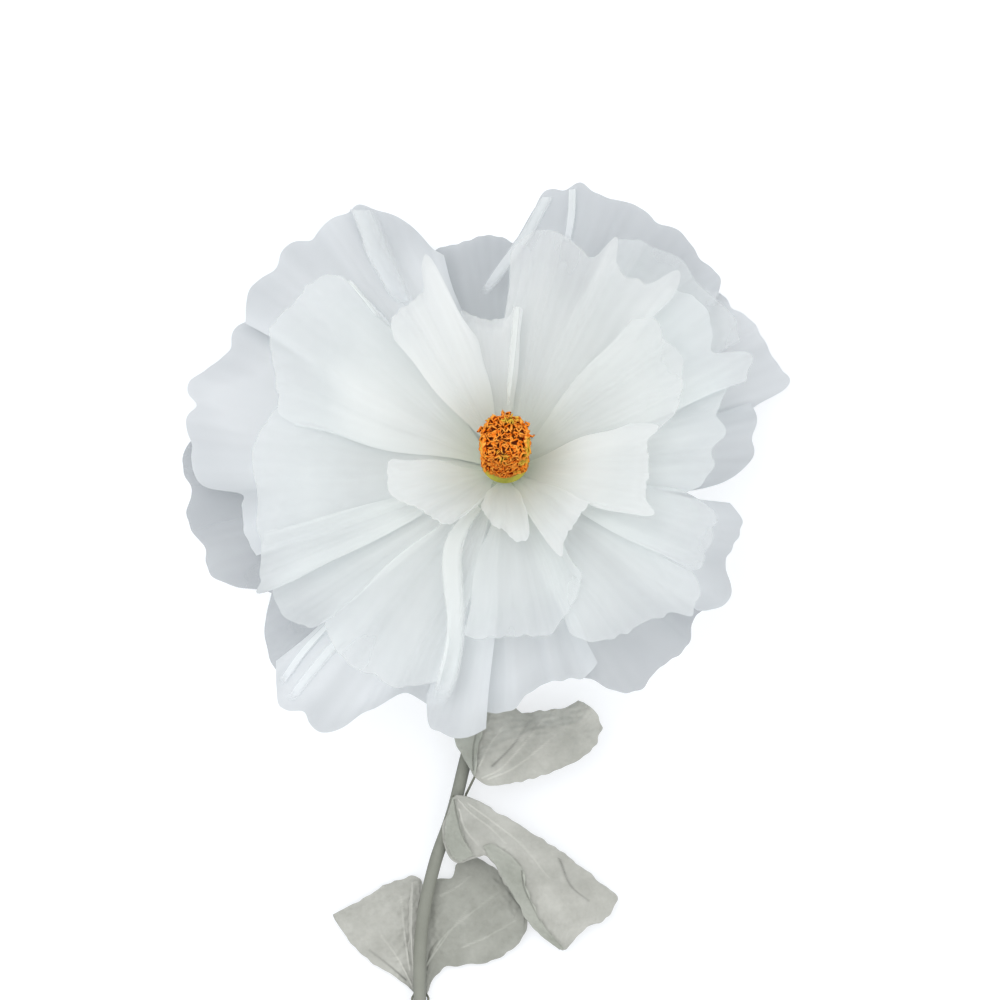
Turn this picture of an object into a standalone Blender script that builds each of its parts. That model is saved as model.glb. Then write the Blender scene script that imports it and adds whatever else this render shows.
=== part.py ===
"""Giant paper flower on a stem, lying face up as it rests on a table.

The head is a stack of cut and folded paper petals, glued by their feet round a turned hub. A seed pod with
frilled paper rings sits on the hub, the stem goes into the hub from below, and wires hold four paper leaves.
Metres, +Z up, +Y along the stem towards the head. The origin is on the table, under the middle of the part.
"""

import math

import bmesh
import bpy
from mathutils import Matrix, Vector

# Main sizes: the head across, the stem from its cut end to the middle of the head, and the leaves
HEAD_WIDTH = 0.500
STEM_LENGTH = 0.680
LEAF_01_LENGTH = 0.120
LEAF_02_LENGTH = 0.160
LEAF_03_LENGTH = 0.095
LEAF_04_LENGTH = 0.110

# Paper and gaps
PETAL_PAPER = 0.0004
LEAF_PAPER = 0.0004
SEAT_GAP = 0.0003

# Head: the tilt of its axis from upright towards +Y, the lean of its petals to the left, and its lowest ring
HEAD_TILT = math.radians(20)
HEAD_LEAN = math.radians(0.6)
HEAD_HEIGHT = 0.066
HEAD_BACK = 0.016
LEVEL_STEP = 0.002
TOP_LEVEL = 12

# Hub
HUB_RADIUS = 0.015
HUB_SHOULDER = 0.003
HUB_TAPER = 0.018
HUB_SOCKET = 0.014
HUB_COLLAR = 0.0025
HUB_SIDES = 24

# Petals: how steeply the lowest and the highest rise, how far the low ones droop, and their folds
LOW_RISE = math.radians(6)
HIGH_RISE = math.radians(40)
RISE_REACH = 0.42
SIDE_DROOP = 0.066
STEM_SIDE_DROOP = 0.040
DROOP_REACH = 0.25
WAVE_HEIGHT = 0.006
WAVES_ROUND = 7
FOLD_DEPTH = 0.0022
FOOT_HALF_ANGLE = 19
PETAL_ROWS = 5

# Stem, and the wires of the leaves
STEM_RADIUS = 0.00525
STEM_STEPS = 3
WIRE_RADIUS = 0.001

# Seed pod, the cup round its foot, and its frills
POD_RADIUS = 0.0165
POD_LENGTH = 0.056
POD_SIDES = 24
CUP_RADIUS = 0.0195
CUP_HEIGHT = 0.0065
FRILL_PAPER = 0.0008
FRILL_WAVE = 0.0016

# Each petal: its name, its level on the hub, and its rim as (angle in degrees, reach from the middle of the
# head as a share of the head's width). Angles turn anticlockwise from +X, seen from above.
PETALS = [
    ("outer_petal_01", 0, [(82, 0.340), (87, 0.348), (91, 0.360), (96, 0.364), (101, 0.358), (108, 0.358),
                                (114, 0.344)]),
    ("outer_petal_02", 2, [(35, 0.410), (37, 0.438), (39, 0.458), (41.5, 0.460), (45, 0.456), (48, 0.462),
                                (52, 0.468), (57, 0.458), (61, 0.464), (66, 0.460), (71, 0.456),
                                (75, 0.464), (77, 0.450), (80, 0.446), (82, 0.432), (84, 0.390),
                                (89, 0.340)]),
    ("outer_petal_03", 0.4, [(9, 0.400), (11.5, 0.428), (13, 0.468), (15.4, 0.486), (17, 0.480),
                                (20, 0.470), (24.6, 0.468), (29, 0.462), (33, 0.448), (37, 0.444),
                                (41, 0.424)]),
    ("outer_petal_04", 1, [(-12, 0.294), (-10, 0.322), (-7, 0.362), (-3.4, 0.390), (1.3, 0.410),
                                (4.4, 0.406), (8, 0.418), (12, 0.410)]),
    ("outer_petal_05", 2, [(-39, 0.400), (-37.5, 0.414), (-34.5, 0.432), (-32, 0.434), (-29.5, 0.422),
                                (-26.5, 0.402), (-23, 0.398), (-18.5, 0.404), (-14, 0.394), (-12, 0.376)]),
    ("outer_petal_06", 0, [(-72, 0.380), (-68, 0.398), (-66, 0.418), (-61.7, 0.438), (-58.6, 0.440),
                                (-55.5, 0.430), (-49, 0.430), (-44.4, 0.424), (-42, 0.410), (-37, 0.410)]),
    ("outer_petal_07", 1, [(-97, 0.410), (-94, 0.418), (-87.5, 0.410), (-85, 0.392), (-80.6, 0.378),
                                (-75, 0.378), (-70, 0.384), (-66, 0.370)]),
    ("outer_petal_08", 3, [(-108, 0.410), (-106, 0.452), (-103, 0.462), (-100, 0.466), (-98, 0.462),
                                (-94, 0.444)]),
    ("outer_petal_09", 2, [(-138, 0.500), (-134.6, 0.528), (-132, 0.548), (-130.5, 0.544), (-128, 0.530),
                                (-126, 0.540), (-123, 0.536), (-120.5, 0.512), (-119, 0.480), (-117, 0.460),
                                (-114, 0.426), (-111, 0.416), (-107, 0.424), (-103.5, 0.416)]),
    ("outer_petal_10", 1, [(-151, 0.430), (-148.5, 0.448), (-146, 0.470), (-141.4, 0.498), (-136, 0.512),
                                (-133, 0.500)]),
    ("outer_petal_11", 0, [(177, 0.516), (180, 0.532), (183, 0.530), (186, 0.520), (189, 0.528),
                                (193, 0.532), (196.5, 0.516), (200, 0.522), (203, 0.518), (206, 0.490),
                                (209, 0.456), (211, 0.440)]),
    ("outer_petal_12", 1, [(150, 0.472), (152.6, 0.480), (155.3, 0.494), (158.6, 0.486), (161.3, 0.496),
                                (164, 0.512), (166.8, 0.532), (169, 0.532), (170.5, 0.514), (172.6, 0.526),
                                (175, 0.526), (178, 0.516), (183, 0.512), (186.4, 0.490), (188, 0.444),
                                (191, 0.440), (196, 0.444), (202, 0.440)]),
    ("outer_petal_13", 2, [(107, 0.344), (109.4, 0.362), (111.2, 0.392), (113.8, 0.424), (117.2, 0.454),
                                (119.8, 0.476), (122.9, 0.476), (126.5, 0.484), (130.2, 0.480),
                                (132, 0.478), (134.5, 0.494), (137.8, 0.496), (141.5, 0.488),
                                (144.4, 0.498), (147.2, 0.502), (150, 0.492), (153, 0.480)]),
    ("middle_petal_01", 6, [(131, 0.300), (132, 0.382), (133.7, 0.406), (138.3, 0.424), (144.2, 0.426),
                                (151.7, 0.434), (160, 0.400), (166, 0.380), (170.5, 0.366), (172, 0.340)]),
    ("middle_petal_02", 5, [(168, 0.380), (172, 0.392), (177, 0.408), (182.2, 0.412), (187, 0.408),
                                (192, 0.412), (197, 0.420), (201, 0.422)]),
    ("middle_petal_03", 6, [(198, 0.410), (201, 0.422), (205, 0.438), (207.2, 0.442), (210, 0.442),
                                (210.8, 0.400)]),
    ("middle_petal_04", 4, [(208, 0.424), (210.4, 0.436), (213, 0.442), (215.8, 0.444), (220, 0.428),
                                (223, 0.392), (224, 0.340)]),
    ("middle_petal_05", 5, [(223, 0.400), (229, 0.416), (235, 0.422), (240, 0.414), (244, 0.416),
                                (249, 0.400), (254, 0.380)]),
    ("middle_petal_06", 6, [(257, 0.296), (260, 0.302), (266, 0.296), (273, 0.294), (280, 0.298),
                                (283.5, 0.300), (290, 0.280), (299, 0.248), (303, 0.230)]),
    ("middle_petal_07", 5, [(290, 0.310), (294.4, 0.332), (298, 0.340), (304.6, 0.350), (311, 0.354),
                                (314, 0.366), (317.4, 0.378), (319, 0.400), (321, 0.392), (325, 0.386),
                                (328, 0.360)]),
    ("middle_petal_08", 6, [(328, 0.356), (330, 0.366), (333.5, 0.362), (337, 0.364), (340.2, 0.360),
                                (345, 0.350), (347, 0.324), (349, 0.282)]),
    ("middle_petal_09", 5, [(348, 0.300), (351, 0.320), (357, 0.340), (362.4, 0.340), (365, 0.360),
                                (371, 0.352), (377, 0.380), (381, 0.392)]),
    ("middle_petal_10", 6, [(377, 0.410), (383.5, 0.424), (386, 0.380), (390, 0.392), (396, 0.406),
                                (401, 0.400), (406, 0.380)]),
    ("middle_petal_11", 4, [(386, 0.428), (391, 0.438), (396, 0.432), (402, 0.424), (408, 0.432),
                                (414, 0.420), (420, 0.410), (424, 0.390)]),
    ("inner_petal_01", 11, [(182, 0.184), (184, 0.190), (191, 0.194), (199, 0.196), (205, 0.184),
                                (211, 0.166), (222, 0.156), (231, 0.144), (238, 0.110), (243, 0.088)]),
    ("inner_petal_02", 12, [(244, 0.090), (252, 0.104), (262, 0.116), (269, 0.122), (280, 0.144),
                                (287, 0.134), (292, 0.090)]),
    ("inner_petal_03", 11, [(291, 0.100), (294, 0.134), (297, 0.176), (298.5, 0.186), (304, 0.170),
                                (312, 0.160), (322, 0.156), (331, 0.158)]),
    ("inner_petal_04", 10, [(330, 0.172), (335, 0.228), (336.5, 0.250), (343, 0.238), (353.4, 0.234),
                                (360, 0.232), (366, 0.234), (371.5, 0.248), (374, 0.210)]),
    ("inner_petal_05", 10, [(83, 0.236), (84.5, 0.244), (88, 0.226), (94, 0.222), (100, 0.226),
                                (104, 0.236), (107, 0.248)]),
    ("inner_petal_06", 11, [(103, 0.190), (106, 0.220), (108, 0.248), (110.6, 0.340), (113.6, 0.336),
                                (116, 0.300), (119, 0.294), (126, 0.290), (131, 0.282), (134, 0.260)]),
    ("inner_petal_07", 8, [(43, 0.370), (44.5, 0.400), (47.4, 0.408), (49, 0.376), (53, 0.360),
                                (56.7, 0.352), (60, 0.364), (63.3, 0.398), (64.8, 0.366), (70, 0.360),
                                (73.3, 0.368), (78, 0.374), (81.6, 0.372), (86, 0.352), (88.5, 0.330)]),
    ("inner_petal_08", 9, [(8, 0.240), (13, 0.280), (18, 0.300), (24, 0.316), (30, 0.330), (36, 0.320),
                                (42, 0.330), (47, 0.300)]),
]

# The stem's middle line, from its cut end to the foot of its bend: (x, y) as shares of its length, and height
STEM_ROUTE = [
    (-0.0765, -1.0000, 0.0053), (-0.0882, -0.8824, 0.0070), (-0.0985, -0.7647, 0.0095),
    (-0.1032, -0.6485, 0.0125), (-0.1007, -0.5735, 0.0140), (-0.0857, -0.4971, 0.0160),
    (-0.0635, -0.4324, 0.0180), (-0.0499, -0.3779, 0.0200), (-0.0294, -0.2941, 0.0215),
    (-0.0118, -0.1912, 0.0225), (-0.0029, -0.1176, 0.0235),
]
STEM_BEND_LEAD = 0.020

# Each leaf: its name, its length, the place of its foot in shares of the stem's length, and its two edges from
# the foot to the tip in shares of its own length. Then its height at the foot, middle and tip, how steeply it
# falls away from its middle fold, and how its wire goes on from the foot along the stem.
LEAVES = [
    ("leaf_01", LEAF_01_LENGTH, (-0.0366, -0.3887),
     [(-0.010, 0.007), (-0.085, 0.116), (-0.139, 0.252), (-0.085, 0.456), (0.106, 0.551), (0.309, 0.497),
      (0.527, 0.456), (0.711, 0.523)],
     [(0.010, -0.007), (0.085, -0.048), (0.242, -0.041), (0.453, 0.007), (0.636, 0.082), (0.785, 0.170),
      (0.853, 0.272), (0.867, 0.374)],
     (0.0320, 0.0390, 0.0250), 0.15,
     [(-0.0471, -0.4103, 0.0195), (-0.0515, -0.4265, 0.0190)]),
    ("leaf_02", LEAF_02_LENGTH, (-0.0624, -0.4121),
     [(-0.015, -0.007), (-0.046, -0.084), (-0.056, -0.176), (-0.005, -0.314), (0.128, -0.344),
      (0.260, -0.426), (0.398, -0.645), (0.571, -0.792)],
     [(0.015, 0.007), (0.077, -0.007), (0.143, -0.033), (0.230, -0.084), (0.342, -0.156), (0.495, -0.247),
      (0.673, -0.375), (0.847, -0.538)],
     (0.0310, 0.0290, 0.0120), 0.1,
     [(-0.0629, -0.4206, 0.0253), (-0.0662, -0.4382, 0.0247)]),
    ("leaf_03", LEAF_03_LENGTH, (-0.1082, -0.6503),
     [(0.015, 0.002), (0.029, 0.361), (0.048, 0.705), (0.048, 1.014), (-0.256, 0.928), (-0.702, 0.687)],
     [(-0.015, -0.002), (-0.093, 0.078), (-0.289, 0.199), (-0.471, 0.336), (-0.616, 0.516),
      (-0.719, 0.662)],
     (0.0045, 0.0065, 0.0070), 0.06,
     [(-0.1125, -0.6574, 0.0100), (-0.1128, -0.6794, 0.0115)]),
    ("leaf_04", LEAF_04_LENGTH, (-0.0968, -0.6503),
     [(-0.013, 0.002), (-0.006, 0.349), (0.071, 0.795), (0.227, 0.957), (0.524, 0.884), (0.746, 0.586)],
     [(0.013, -0.002), (0.116, 0.135), (0.198, 0.201), (0.443, 0.231), (0.620, 0.305), (0.739, 0.431)],
     (0.0045, 0.0065, 0.0085), 0.06,
     [(-0.0929, -0.6574, 0.0100), (-0.0932, -0.6794, 0.0115)]),
]
LEAF_COLUMNS = 6
LEAF_ROWS = 7

# Each frill on the pod or round it: the radius of its foot and its top, its waves, and their heights on the hub
POD_TOP = POD_LENGTH + 2 * SEAT_GAP
WRAP_RADIUS = POD_RADIUS + SEAT_GAP + FRILL_PAPER / 2
FRILLS = [
    ("stamen_frill_01", 0.0040, 0.0055, 5, POD_TOP, 0.0640),
    ("stamen_frill_02", 0.0095, 0.0130, 9, POD_TOP, 0.0630),
    ("stamen_frill_03", WRAP_RADIUS, 0.0195, 13, 0.0360, 0.0610),
    ("stamen_frill_04", WRAP_RADIUS, 0.0205, 14, 0.0090, 0.0375),
]

AXIS = Vector((0, math.sin(HEAD_TILT), math.cos(HEAD_TILT)))
LOWEST_RING = Vector((0, -HEAD_BACK, HEAD_HEIGHT))
HUB_TOP = LOWEST_RING + AXIS * (TOP_LEVEL * LEVEL_STEP + HUB_SHOULDER)
HUB_BAND = TOP_LEVEL * LEVEL_STEP + 2 * HUB_SHOULDER
HUB_FOOT = HUB_TOP - AXIS * (HUB_BAND + HUB_TAPER)


def clear_scene():
    for obj in list(bpy.data.objects):
        bpy.data.objects.remove(obj, do_unlink=True)


def new_material(name, colour, roughness):
    material = bpy.data.materials.new(name)
    material.use_nodes = True
    shader = material.node_tree.nodes["Principled BSDF"]
    shader.inputs["Base Color"].default_value = (*colour, 1)
    shader.inputs["Roughness"].default_value = roughness
    shader.inputs["Metallic"].default_value = 0
    return material


def add_object(name, data, material, collection):
    obj = bpy.data.objects.new(name, data)
    data.materials.append(material)
    collection.objects.link(obj)
    return obj


def add_sheet(name, columns, rows, place, thickness, material, collection):
    """A sheet of paper: a grid whose points go where place(column, share along the sheet) says."""
    mesh = bpy.data.meshes.new(name)
    sheet = bmesh.new()
    bmesh.ops.create_grid(sheet, x_segments=columns, y_segments=rows, size=0.5)
    for vert in sheet.verts:
        column = round((vert.co.x + 0.5) * columns)
        vert.co = place(column, vert.co.y + 0.5)
    sheet.to_mesh(mesh)
    sheet.free()
    obj = add_object(name, mesh, material, collection)
    paper = obj.modifiers.new("Paper", "SOLIDIFY")
    paper.thickness = thickness
    paper.offset = 0
    mesh.shade_smooth()
    return obj


def side_share(angle):
    """How far a direction is from the head's top, 0 above it and 1 level with the middle or below."""
    return 1 - max(0.0, math.sin(angle)) ** 1.5


def droop_at(angle):
    """How far a low petal's rim hangs in this direction: more at the sides than over the stem."""
    over_stem = max(0.0, -math.sin(angle))
    return (SIDE_DROOP + (STEM_SIDE_DROOP - SIDE_DROOP) * over_stem) * side_share(angle)


def petal_height(x, y, out, level):
    """The height of a petal of this level over (x, y), at a distance out from the hub."""
    share = level / TOP_LEVEL
    ring = LOWEST_RING + AXIS * (level * LEVEL_STEP)
    angle, reach = math.atan2(y, x), math.hypot(x, y)
    slope = math.tan(LOW_RISE + (HIGH_RISE - LOW_RISE) * share)
    tilted = ring.z - (y - ring.y) * math.tan(HEAD_TILT) + x * math.tan(HEAD_LEAN)
    risen = slope * out * (1 - out / (2 * RISE_REACH))
    hanging = droop_at(angle) * (1 - share) ** 1.5 * (reach / DROOP_REACH) ** 2
    wave = WAVE_HEIGHT * (out / DROOP_REACH) * math.sin(WAVES_ROUND * angle)
    return tilted + risen - hanging + wave


def petal_point(rim, level, column, along):
    """A point of a petal: along is 0 at its foot on the hub and 1 at its rim."""
    first, last = rim[0][0], rim[-1][0]
    middle, half = (first + last) / 2, (last - first) / 2
    turn, reach = rim[column][0], rim[column][1] * HEAD_WIDTH
    foot_half = min(FOOT_HALF_ANGLE, 0.8 * half)
    foot_turn = middle + (turn - middle) / half * foot_half
    spread = 1 - (1 - along) ** 1.5
    angle = math.radians(foot_turn + (turn - foot_turn) * spread)
    foot_radius = HUB_RADIUS + SEAT_GAP
    foot = foot_radius / math.hypot(math.cos(angle), math.sin(angle) / math.cos(HEAD_TILT))
    radius = foot + (reach - foot) * along
    ring_y = -HEAD_BACK + AXIS.y * level * LEVEL_STEP
    x = radius * math.cos(angle)
    y = radius * math.sin(angle) + ring_y * (1 - along)
    fold = FOLD_DEPTH * along * (1 if column % 2 else -1)
    return Vector((x, y, petal_height(x, y, radius - foot, level) + fold))


def add_petals(materials, collection):
    for name, level, rim in PETALS:
        add_sheet(
            name,
            len(rim) - 1,
            PETAL_ROWS,
            lambda column, along: petal_point(rim, level, column, along),
            PETAL_PAPER,
            materials[name.split("_")[0]],
            collection,
        )


def turned(name, profile, sides, material, collection):
    """A turned solid: the profile runs down its outer side, and starts and ends on the axis."""
    mesh = bpy.data.meshes.new(name)
    mesh.from_pydata([(r, 0, h) for r, h in profile], [(i, i + 1) for i in range(len(profile) - 1)], [])
    obj = add_object(name, mesh, material, collection)
    spin = obj.modifiers.new("Turn", "SCREW")
    spin.axis = "Z"
    spin.steps = spin.render_steps = sides
    spin.use_merge_vertices = True
    spin.merge_threshold = 0.00001
    spin.use_smooth_shade = True
    return obj


def set_on_axis(obj, point):
    obj.location = point
    obj.rotation_euler = (-HEAD_TILT, 0, 0)


def add_hub(material, collection):
    length = HUB_BAND + HUB_TAPER
    socket = STEM_RADIUS + SEAT_GAP
    profile = [
        (0, length),
        (HUB_RADIUS, length),
        (HUB_RADIUS, HUB_TAPER),
        (socket + HUB_COLLAR, 0),
        (socket, 0),
        (socket, HUB_SOCKET),
        (0, HUB_SOCKET),
    ]
    hub = turned("hub", profile, HUB_SIDES, material, collection)
    set_on_axis(hub, HUB_FOOT)


def add_pod(material, collection):
    profile = [
        (0, POD_LENGTH),
        (POD_RADIUS * 0.7, POD_LENGTH),
        (POD_RADIUS, POD_LENGTH * 0.93),
        (POD_RADIUS, CUP_HEIGHT + SEAT_GAP),
        (CUP_RADIUS, CUP_HEIGHT),
        (CUP_RADIUS, CUP_HEIGHT * 0.7),
        (POD_RADIUS * 0.75, 0),
        (0, 0),
    ]
    pod = turned("seed_pod", profile, POD_SIDES, material, collection)
    set_on_axis(pod, HUB_TOP + AXIS * SEAT_GAP)


def add_frills(material, collection):
    for name, foot_radius, top_radius, waves, foot, top in FRILLS:
        mesh = bpy.data.meshes.new(name)
        wall = bmesh.new()
        bmesh.ops.create_cone(wall, cap_ends=False, segments=4 * waves, radius1=foot_radius,
                              radius2=top_radius, depth=top - foot)
        for vert in wall.verts:
            angle = math.atan2(vert.co.y, vert.co.x)
            height = vert.co.z / (top - foot) + 0.5
            radius = foot_radius + (top_radius - foot_radius) * height
            waved = radius + FRILL_WAVE * height * math.sin(waves * angle)
            vert.co = Vector((waved * math.cos(angle), waved * math.sin(angle), foot + (top - foot) * height))
        wall.to_mesh(mesh)
        wall.free()
        frill = add_object(name, mesh, material, collection)
        paper = frill.modifiers.new("Paper", "SOLIDIFY")
        paper.thickness = FRILL_PAPER
        paper.offset = 0
        set_on_axis(frill, HUB_TOP)


def add_tube(name, points, radius, kind, steps, material, collection):
    curve = bpy.data.curves.new(name, "CURVE")
    curve.dimensions = "3D"
    curve.bevel_depth = radius
    curve.bevel_resolution = 2
    curve.resolution_u = steps
    curve.use_fill_caps = True
    spline = curve.splines.new(kind)
    if kind == "BEZIER":
        spline.bezier_points.add(len(points) - 1)
        for knot, point in zip(spline.bezier_points, points):
            knot.co = point
            knot.handle_left_type = knot.handle_right_type = "AUTO"
    else:
        spline.points.add(len(points) - 1)
        for knot, point in zip(spline.points, points):
            knot.co = (*point, 1)
    return add_object(name, curve, material, collection)


def on_stem(x_share, y_share, height):
    return Vector((x_share * STEM_LENGTH, y_share * STEM_LENGTH, height))


def add_stem(material, collection):
    """The stem lies along the table, bends up behind the head and ends in the hub's socket."""
    end = HUB_FOOT + AXIS * (HUB_SOCKET - SEAT_GAP)
    below = HUB_FOOT - AXIS * STEM_BEND_LEAD * 0.35
    corner = Vector((0, below.y - STEM_BEND_LEAD * 0.55, below.z - STEM_BEND_LEAD * 0.75))
    points = [on_stem(*point) for point in STEM_ROUTE] + [corner, below, HUB_FOOT + AXIS * 0.002, end]
    add_tube("stem", points, STEM_RADIUS, "BEZIER", STEM_STEPS, material, collection)


def between(points, share):
    """The point at this share of the way along a list of points."""
    place = min(share, 0.999999) * (len(points) - 1)
    index = int(place)
    start, end = Vector(points[index]), Vector(points[index + 1])
    return start.lerp(end, place - index)


def leaf_point(leaf, across, along):
    """A point of a leaf: across is -1 and 1 at its edges, along is 0 at its foot and 1 at its tip."""
    _, length, foot_place, left, right, heights, slope, _ = leaf
    edges = between(left, along), between(right, along)
    flat = edges[0].lerp(edges[1], (across + 1) / 2) * length + Vector(foot_place) * STEM_LENGTH
    foot, middle, tip = heights
    height = foot + (middle - foot) * min(1, 2 * along) + (tip - middle) * max(0, 2 * along - 1)
    half_width = (edges[1] - edges[0]).length * length / 2
    return Vector((flat.x, flat.y, height - slope * half_width * abs(across)))


def add_leaves(material, collection):
    for leaf in LEAVES:
        add_sheet(
            leaf[0],
            LEAF_COLUMNS,
            LEAF_ROWS,
            lambda column, along: leaf_point(leaf, 2 * column / LEAF_COLUMNS - 1, along),
            LEAF_PAPER,
            material,
            collection,
        )


def add_wires(material, collection):
    """A wire under the middle fold of each leaf, which runs on from the leaf's foot along the stem."""
    under = LEAF_PAPER / 2 + SEAT_GAP + 1.05 * WIRE_RADIUS
    for leaf in LEAVES:
        rows = range(LEAF_ROWS - 1, -1, -1)
        points = [leaf_point(leaf, 0, row / LEAF_ROWS) - Vector((0, 0, under)) for row in rows]
        points += [on_stem(*point) for point in leaf[-1]]
        name = leaf[0].replace("leaf", "leaf_wire")
        add_tube(name, points, WIRE_RADIUS, "POLY", 1, material, collection)


def rest_on_origin(collection):
    """Moves the whole part so that the middle of its footprint is over the origin and it stands on z = 0."""
    bpy.context.view_layer.update()
    graph = bpy.context.evaluated_depsgraph_get()
    corners = []
    for obj in collection.objects:
        placed = obj.evaluated_get(graph)
        mesh = placed.to_mesh()
        corners += [placed.matrix_world @ vert.co for vert in mesh.vertices]
        placed.to_mesh_clear()
    low = Vector([min(corner[i] for corner in corners) for i in range(3)])
    high = Vector([max(corner[i] for corner in corners) for i in range(3)])
    shift = Vector((-(low.x + high.x) / 2, -(low.y + high.y) / 2, -low.z))
    for obj in collection.objects:
        obj.matrix_world = Matrix.Translation(shift) @ obj.matrix_world
    return shift


def main():
    clear_scene()
    collection = bpy.data.collections.new("giant_paper_flower")
    bpy.context.scene.collection.children.link(collection)
    petal_papers = {
        "outer": new_material("outer_petal_paper", (0.62, 0.66, 0.70), 0.6),
        "middle": new_material("middle_petal_paper", (0.78, 0.80, 0.81), 0.6),
        "inner": new_material("inner_petal_paper", (0.84, 0.85, 0.83), 0.6),
    }
    add_petals(petal_papers, collection)
    add_hub(new_material("hub_card", (0.62, 0.66, 0.50), 0.8), collection)
    add_pod(new_material("pod_paper", (0.42, 0.45, 0.06), 0.7), collection)
    add_frills(new_material("frill_paper", (0.80, 0.28, 0.02), 0.6), collection)
    add_stem(new_material("stem_wrap", (0.30, 0.31, 0.27), 0.6), collection)
    add_leaves(new_material("leaf_paper", (0.45, 0.46, 0.42), 0.7), collection)
    add_wires(new_material("wire_wrap", (0.20, 0.21, 0.17), 0.6), collection)
    rest_on_origin(collection)


main()
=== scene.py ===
# %% [markdown]
# A giant paper flower, lying face up. The frame holds one plain solid for each petal, leaf, wire and
# frill. This lesson gives each of them its paper: a fine sheet with pleats and a ruffled rim stands in for
# the solid sheet, and stays in its place.

# %% Load the frame
import math
import random

import bpy
import numpy as np
from mathutils import Matrix, Vector
from mathutils.bvhtree import BVHTree


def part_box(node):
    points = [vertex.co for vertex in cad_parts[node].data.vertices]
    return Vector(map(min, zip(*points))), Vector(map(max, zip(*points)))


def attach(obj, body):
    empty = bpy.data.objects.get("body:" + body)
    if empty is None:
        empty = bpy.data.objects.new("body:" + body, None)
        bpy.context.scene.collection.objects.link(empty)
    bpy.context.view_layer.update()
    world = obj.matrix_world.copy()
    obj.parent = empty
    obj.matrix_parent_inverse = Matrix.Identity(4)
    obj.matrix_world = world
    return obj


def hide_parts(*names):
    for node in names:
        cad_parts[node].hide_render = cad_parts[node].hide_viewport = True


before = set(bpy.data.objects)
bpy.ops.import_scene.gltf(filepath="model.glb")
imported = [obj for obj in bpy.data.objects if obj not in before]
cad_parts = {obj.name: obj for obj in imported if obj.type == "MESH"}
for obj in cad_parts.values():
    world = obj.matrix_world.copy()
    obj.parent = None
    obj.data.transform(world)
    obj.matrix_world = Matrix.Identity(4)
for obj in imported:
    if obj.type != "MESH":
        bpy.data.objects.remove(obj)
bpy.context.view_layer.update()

# %% [markdown]
# The middle of the head, where all petals meet, is the place that everything is measured from. Seen from
# above it is also where the photograph's pixels are counted from, so the camera is placed by it too.

# %% Measures shared by all pieces
HUB_LOW, HUB_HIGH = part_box("hub")
HEAD_X = (HUB_LOW.x + HUB_HIGH.x) / 2
HEAD_Y = 0.228185
PIXEL = 0.000816
VIEW_PIXELS = 1000
HEAD_PIXEL_X, HEAD_PIXEL_Y = 505, 455
HEAD_TILT = math.radians(20)
HEAD_LEAN = math.radians(0.6)
AXIS = Vector((0, math.sin(HEAD_TILT), math.cos(HEAD_TILT)))
TURN_ALL = Matrix.Rotation(-HEAD_TILT, 4, "X")
print("head at", round(HEAD_X, 4), HEAD_Y)

# %% [markdown]
# The flower is photographed from the front, so it lies on its back and the camera looks straight down. A
# long lens from far away keeps the outlines as they are. The view is 1000 pixels wide, and the middle of
# the head is at pixel (505, 455) of it. A pixel of the view is PIXEL wide at the height of most petals.


# %% Camera above the flower
def add_object(name, data):
    """A new object in the scene that shows this mesh, curve, camera or lamp."""
    thing = bpy.data.objects.new(name, data)
    bpy.context.collection.objects.link(thing)
    return thing


def paint(piece, material):
    """Gives a piece this material alone."""
    piece.data.materials.clear()
    piece.data.materials.append(material)


CAMERA_HEIGHT = 8.0
PETAL_HEIGHT = 0.09
SENSOR = 36
camera_data = bpy.data.cameras.new("camera")
camera = add_object("camera", camera_data)
beside, below = HEAD_PIXEL_X - VIEW_PIXELS / 2, VIEW_PIXELS / 2 - HEAD_PIXEL_Y
camera.location = (HEAD_X - beside * PIXEL, HEAD_Y - below * PIXEL, CAMERA_HEIGHT)
camera_data.sensor_width = SENSOR
camera_data.lens = SENSOR * (CAMERA_HEIGHT - PETAL_HEIGHT) / (VIEW_PIXELS * PIXEL)
camera_data.clip_end = 100
bpy.context.scene.camera = camera
print("lens:", round(camera_data.lens), "mm")

# %% [markdown]
# Shader maths reads best as sums. This class wraps a socket of a node, so that an expression such as
# 1 - mask * 0.5 adds the Math nodes by itself. Any other node comes from one method.


# %% A socket that can be calculated with
class Value:
    """A node socket that takes part in sums."""

    def __init__(self, tree, socket):
        self.tree = tree
        self.socket = socket

    def _math(self, operation, *inputs):
        """A Math node of this operation."""
        node = self.tree.nodes.new("ShaderNodeMath")
        node.operation = operation
        for place, item in zip(node.inputs, inputs):
            if isinstance(item, Value):
                self.tree.links.new(item.socket, place)
            else:
                place.default_value = item
        return Value(self.tree, node.outputs[0])

    def __add__(self, other):
        return self._math("ADD", self, other)

    __radd__ = __add__

    def __sub__(self, other):
        return self._math("SUBTRACT", self, other)

    def __rsub__(self, other):
        return self._math("SUBTRACT", other, self)

    def __mul__(self, other):
        return self._math("MULTIPLY", self, other)

    __rmul__ = __mul__

    def __truediv__(self, other):
        return self._math("DIVIDE", self, other)

    def __pow__(self, other):
        return self._math("POWER", self, other)

    def clamped(self):
        """This, held to 0 to 1."""
        node = self.tree.nodes.new("ShaderNodeClamp")
        self.tree.links.new(self.socket, node.inputs[0])
        return Value(self.tree, node.outputs[0])

    def ramp(self, low, high):
        """0 where this is at low, 1 at high, and held to that range."""
        return ((self - low) / (high - low)).clamped()


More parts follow.
